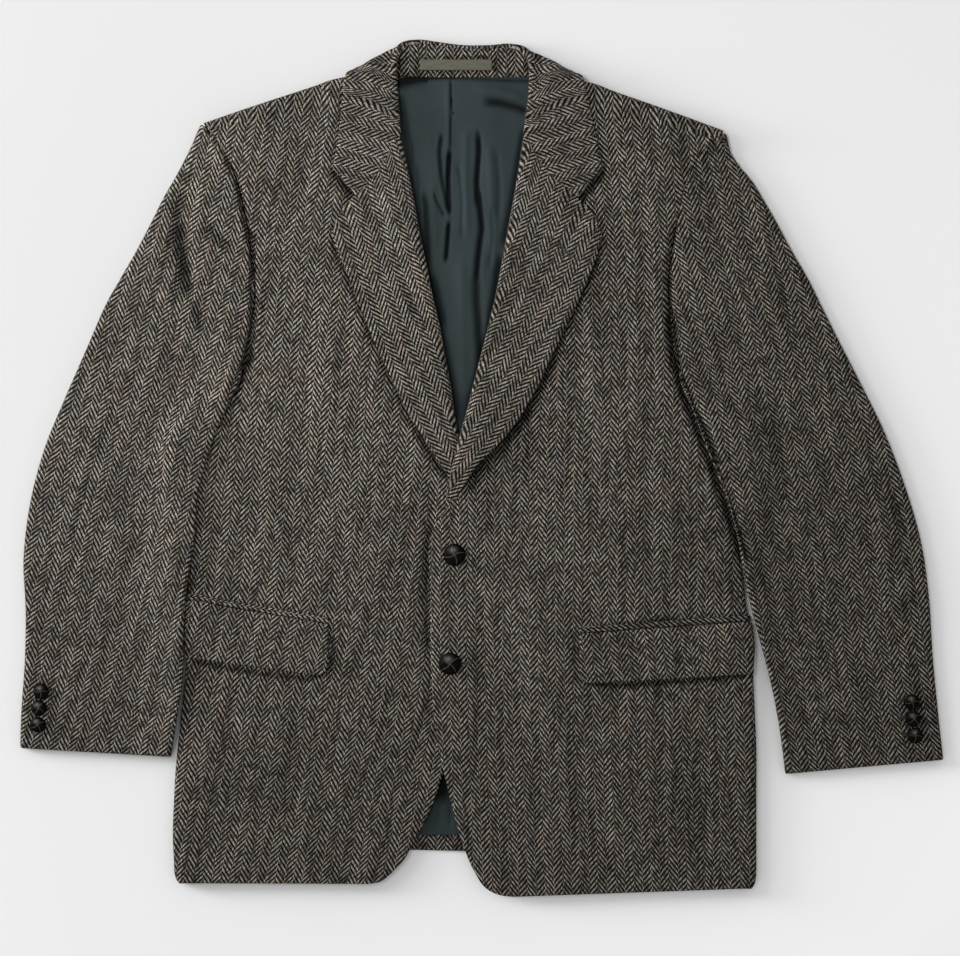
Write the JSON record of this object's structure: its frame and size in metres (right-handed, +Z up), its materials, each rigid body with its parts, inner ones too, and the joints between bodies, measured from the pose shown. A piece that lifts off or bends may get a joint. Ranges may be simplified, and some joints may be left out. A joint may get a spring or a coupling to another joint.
{
  "type": "tweed hacking jacket",
  "caption": "Single-breasted tweed jacket laid flat on its back, fronts buttoned, with notched lapels, slanted hip pocket flaps and leather-covered buttons.",
  "frame": {"origin": "on the surface that the jacket lies on, on its centre-back line, half-way between hem and collar", "axes": "+X to the wearer's left, +Y from the hem to the collar, +Z up from the surface, out of the fronts"},
  "size_m": [0.8596, 0.7975, 0.0238],
  "materials": {
    "tweed": "brown and grey wool herringbone tweed, matt with a short nap",
    "satin": "dark slate satin lining, softly shiny",
    "hanger_tape": "olive-grey woven tape, bare",
    "leather": "dark brown plaited leather, satin"
  },
  "bodies": {
    "root": {"back_left": "tweed", "back_right": "tweed", "side_left": "tweed", "side_right": "tweed", "front_left": "tweed", "front_right": "tweed", "lapel_left": "tweed", "lapel_right": "tweed", "collar_stand": "tweed", "collar_fall": "tweed", "top_sleeve_left": "tweed", "top_sleeve_right": "tweed", "under_sleeve_left": "tweed", "under_sleeve_right": "tweed", "pocket_flap_left": "tweed", "pocket_flap_right": "tweed", "pocket_jet_left": "tweed", "pocket_jet_right": "tweed", "back_lining": "satin", "hanger_strip": "hanger_tape", "front_button_upper": "leather", "front_button_lower": "leather", "cuff_button_left_1": "leather", "cuff_button_left_2": "leather", "cuff_button_left_3": "leather", "cuff_button_right_1": "leather", "cuff_button_right_2": "leather", "cuff_button_right_3": "leather"}
  },
  "joints": []
}
